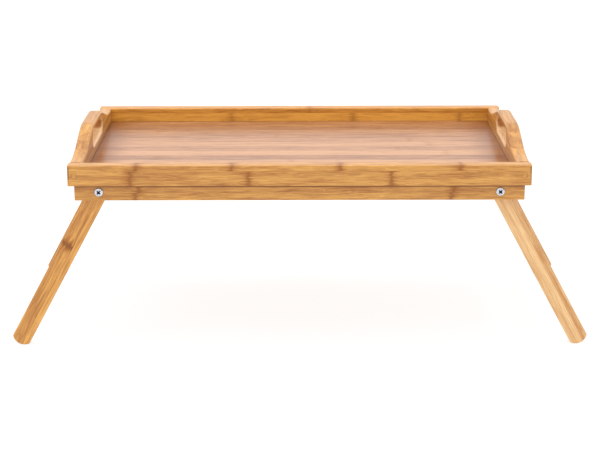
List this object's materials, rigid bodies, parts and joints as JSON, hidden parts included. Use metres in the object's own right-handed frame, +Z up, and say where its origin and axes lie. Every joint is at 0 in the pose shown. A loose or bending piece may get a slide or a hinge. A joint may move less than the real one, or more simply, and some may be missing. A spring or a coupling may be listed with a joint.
{
  "type": "folding tray table",
  "caption": "Rectangular bamboo tray with a hand hole in each raised end, standing on splayed leg frames that fold flat beneath it.",
  "frame": {"origin": "on the floor under the middle of the tray, with both leg frames unfolded", "axes": "+X along the tray to the right end, +Y from front to back, +Z up"},
  "size_m": [0.644, 0.3, 0.2323],
  "materials": {
    "tray_wood": "satin clear lacquer on caramelised bamboo",
    "leg_wood": "satin clear lacquer on bamboo",
    "panel_wood": "satin clear lacquer on narrow bamboo strips",
    "pin_wood": "bamboo end grain, lacquered flush",
    "chrome": "bright plated",
    "zinc": "zinc plated",
    "nylon": "natural nylon"
  },
  "bodies": {
    "tray": {"front_rail": "tray_wood", "back_rail": "tray_wood", "left_end_board": "tray_wood", "right_end_board": "tray_wood", "base_panel": "panel_wood", "front_lower_rail": "tray_wood", "back_lower_rail": "tray_wood", "left_stop_batten": "tray_wood", "right_stop_batten": "tray_wood", "front_left_corner_pin": "pin_wood", "front_right_corner_pin": "pin_wood", "back_left_corner_pin": "pin_wood", "back_right_corner_pin": "pin_wood", "front_left_pivot_bolt": "chrome", "front_right_pivot_bolt": "chrome", "back_left_pivot_bolt": "chrome", "back_right_pivot_bolt": "chrome", "front_left_spacer_washer": "nylon", "front_right_spacer_washer": "nylon", "back_left_spacer_washer": "nylon", "back_right_spacer_washer": "nylon", "front_left_nut_washer": "zinc", "front_right_nut_washer": "zinc", "back_left_nut_washer": "zinc", "back_right_nut_washer": "zinc", "front_left_lock_nut": "zinc", "front_right_lock_nut": "zinc", "back_left_lock_nut": "zinc", "back_right_lock_nut": "zinc", "front_rail_screw_1": "zinc", "front_rail_screw_2": "zinc", "front_rail_screw_3": "zinc", "back_rail_screw_1": "zinc", "back_rail_screw_2": "zinc", "back_rail_screw_3": "zinc", "left_batten_screw_1": "zinc", "left_batten_screw_2": "zinc", "right_batten_screw_1": "zinc", "right_batten_screw_2": "zinc"},
    "left_leg_frame": {"front_left_leg": "leg_wood", "back_left_leg": "leg_wood", "left_crossbar": "leg_wood"},
    "right_leg_frame": {"front_right_leg": "leg_wood", "back_right_leg": "leg_wood", "right_crossbar": "leg_wood"}
  },
  "joints": [
    {"name": "left_leg_fold", "type": "hinge", "parent": "tray", "child": "left_leg_frame", "pos_m": [-0.217, 0, 0.18187], "axis": [0, -1, 0], "range_deg": [0, 118.65]},
    {"name": "right_leg_fold", "type": "hinge", "parent": "tray", "child": "right_leg_frame", "pos_m": [0.217, 0, 0.18187], "axis": [0, 1, 0], "range_deg": [0, 118.65]}
  ]
}
